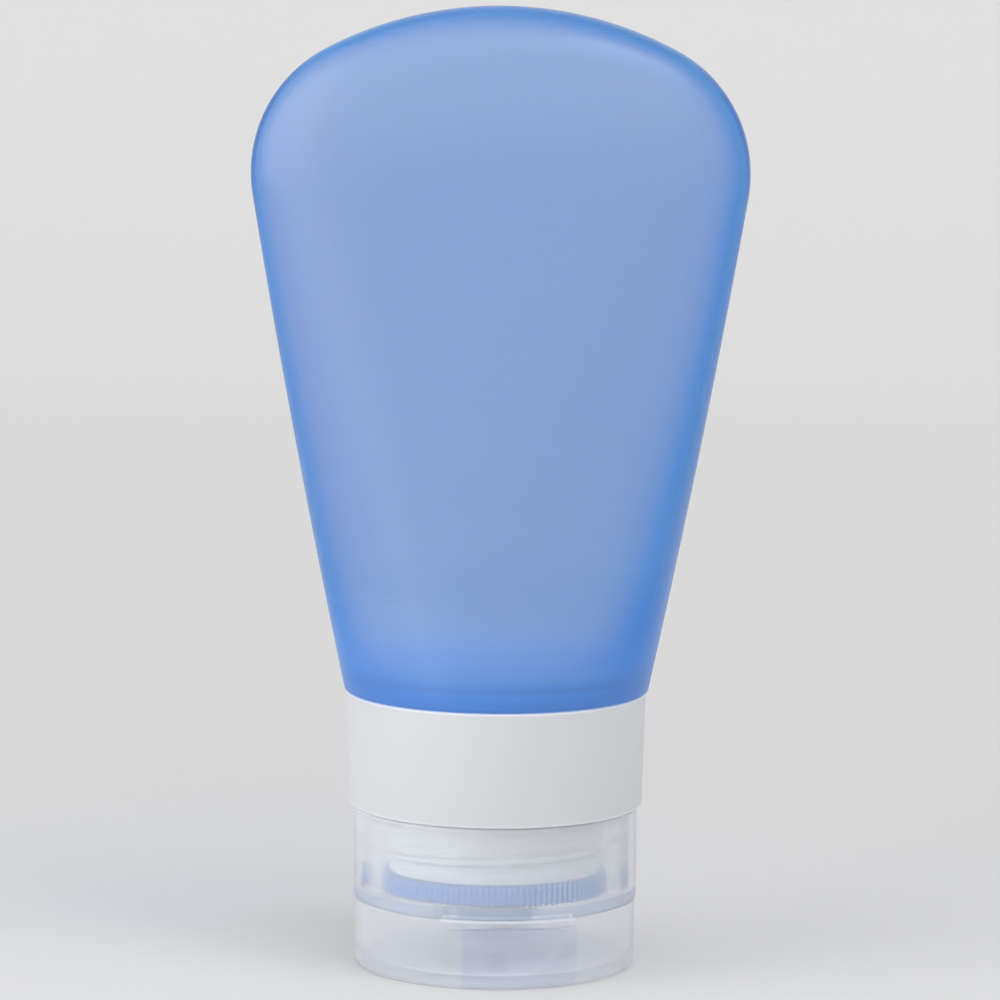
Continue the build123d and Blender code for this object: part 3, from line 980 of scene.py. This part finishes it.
def lid_material():
    """Frosted lid: painted shade on its thumb panel, and a painted highlight along its rim, most so
    over the panel.
    """
    paint = Paint("frosted_lid")
    height = paint.axis("Z")
    across = paint.along(paint.place, (cos(CAP_TURN), sin(CAP_TURN), 0.0))
    front = paint.along(paint.place, (sin(CAP_TURN), -cos(CAP_TURN), 0.0))
    panel = paint.product(
        paint.rise(across, PANEL_LEFT_SPAN),
        paint.fall(across, PANEL_RIGHT_SPAN),
        paint.fall(height, PANEL_LIP_SPAN),
        paint.rise(front, FRONT_SPAN),
    )
    haze = paint.colours(panel, LID_HAZE, LID_PANEL_SHADE)
    over_panel = paint.fall(paint.maths("ABSOLUTE", across), LIP_SIDE_SPAN)
    left_over = paint.slope(over_panel, (0.0, 1.0), BESIDE_PANEL, 1.0)
    edge = paint.product(paint.rise(height, LID_EDGE_SPAN), left_over)
    haze = paint.colours(edge, haze, LID_RIM_HIGHLIGHT)
    skin_share = paint.blend(edge, LID_SHARE, LID_EDGE_SHARE)
    return frosted(paint, haze, LID_SKIN, skin_share, INNER_SHARE)


# Stage, in metres

# The floor's tone is painted light: lighter towards the front, standing in for the light there
STAGE_FAR = (0.68, 0.68, 0.682, 1)
STAGE_NEAR = (0.77, 0.77, 0.77, 1)
STAGE_SPAN = (-0.07, 0.14)
STAGE_HALF_WIDTH = 3.0
STAGE_FRONT = -1.6
STAGE_BACK = 1.1
STAGE_TOP = 2.2
STAGE_BEND = 0.5
STAGE_BEND_STEPS = 16


def stage():
    """A pale floor that curves up into the backdrop, painted lighter towards the front."""
    paint = Paint("stage")
    tone = paint.colours(paint.fall(paint.axis("Y"), STAGE_SPAN), STAGE_FAR, STAGE_NEAR)
    path = [(STAGE_FRONT, 0.0)]
    for i in range(STAGE_BEND_STEPS + 1):
        turn = pi / 2 * i / STAGE_BEND_STEPS
        path.append((STAGE_BACK - STAGE_BEND + STAGE_BEND * sin(turn), STAGE_BEND * (1 - cos(turn))))
    path.append((STAGE_BACK, STAGE_TOP))
    points = [(x, y, z) for x in (-STAGE_HALF_WIDTH, STAGE_HALF_WIDTH) for y, z in path]
    count = len(path)
    faces = [(i, count + i, count + i + 1, i + 1) for i in range(count - 1)]
    mesh = bpy.data.meshes.new("stage_floor")
    mesh.from_pydata(points, [], faces)
    mesh.shade_smooth()
    mesh.materials.append(paint.done(paint.surface(tone, roughness=0.9)))
    linked("stage_floor", mesh)


# Lights: each lamp's name, the place it shines from towards the origin, its strength and width

LAMPS = [
    ("left", (-0.90, -0.42, 0.25), 0.42, radians(60)),
    ("top_front", (0.25, -0.75, 0.9), 0.09, radians(40)),
    ("top_right", (0.6, -0.45, 1.0), 0.17, radians(30)),
]
WORLD_LEFT = 0.76
WORLD_RIGHT = 0.60


def lights():
    """Wide soft lamps, and a world that is a little brighter at the left."""
    for name, (x, y, z), strength, width in LAMPS:
        light = bpy.data.lights.new(name, "SUN")
        light.energy = strength * pi
        light.angle = width
        linked(name, light).rotation_euler = (atan2(hypot(x, y), z), 0, atan2(y, x) + pi / 2)
    world = bpy.data.worlds.new("studio")
    world.use_nodes = True
    tree = world.node_tree
    aim = tree.nodes.new("ShaderNodeTexCoord")
    axes = tree.nodes.new("ShaderNodeSeparateXYZ")
    fall = tree.nodes.new("ShaderNodeMapRange")
    background = tree.nodes["Background"]
    tree.links.new(aim.outputs["Generated"], axes.inputs[0])
    tree.links.new(axes.outputs["X"], fall.inputs["Value"])
    tree.links.new(fall.outputs["Result"], background.inputs["Strength"])
    limits = {"From Min": -1.0, "From Max": 1.0, "To Min": WORLD_LEFT, "To Max": WORLD_RIGHT}
    for name, number in limits.items():
        fall.inputs[name].default_value = number
    background.inputs["Color"].default_value = WHITE
    bpy.context.scene.world = world


# Camera, fitted to the ellipses of the lid, the cap and the collar

CAMERA_DISTANCE = 0.750
CAMERA_HEIGHT = 0.1648
CAMERA_SIDE = 0.28 * MM
CAMERA_PITCH = radians(7.605)
CAMERA_ROLL = radians(0.49)
CAMERA_NEAREST = 0.01
FOCAL_PIXELS = 5496.0
IMAGE_PIXELS = 1000.0
SENSOR = 36.0


def camera():
    """The photograph's camera."""
    data = bpy.data.cameras.new("photo_camera")
    data.sensor_width = SENSOR
    data.lens = FOCAL_PIXELS / IMAGE_PIXELS * SENSOR
    data.clip_start = CAMERA_NEAREST
    piece = linked("photo_camera", data)
    piece.location = (CAMERA_SIDE, -CAMERA_DISTANCE, CAMERA_HEIGHT)
    turn = Matrix.Rotation(pi / 2 - CAMERA_PITCH, 3, "X") @ Matrix.Rotation(CAMERA_ROLL, 3, "Z")
    piece.rotation_euler = turn.to_euler()
    bpy.context.scene.camera = piece


# The whole

def paint_with(piece, material):
    """Give a piece one material in place of what it has."""
    piece.data.materials.clear()
    piece.data.materials.append(material)


def dress(piece, material, body, node):
    """Give a piece its material, its body and the node it stands for."""
    paint_with(piece, material)
    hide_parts(node)
    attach(piece, body)


silicone = silicone_material()
seal = seal_material()
milky = milky_material()
white = white_material()
frosted_cap = cap_material()
frosted_lid = lid_material()

dress(silicone_body(), silicone, "bottle", "silicone_body")
dress(neck_ring(), white, "bottle", "neck_ring")
dress(collar_ring(), milky, "bottle", "collar_ring")
dress(sealing_gasket(), seal, "seal", "sealing_gasket")
dress(cap_base(), frosted_cap, "cap", "cap_base")
dress(flip_lid(), frosted_lid, "lid", "flip_lid")

strap = hinge_strap()
paint_with(strap, frosted_cap)
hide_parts("hinge_strap")
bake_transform(strap)

for node, material in (("drip_valve", seal), ("valve_retainer", white)):
    paint_with(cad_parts[node], material)

stage()
lights()
camera()
bpy.context.scene.view_settings.view_transform = "Standard"
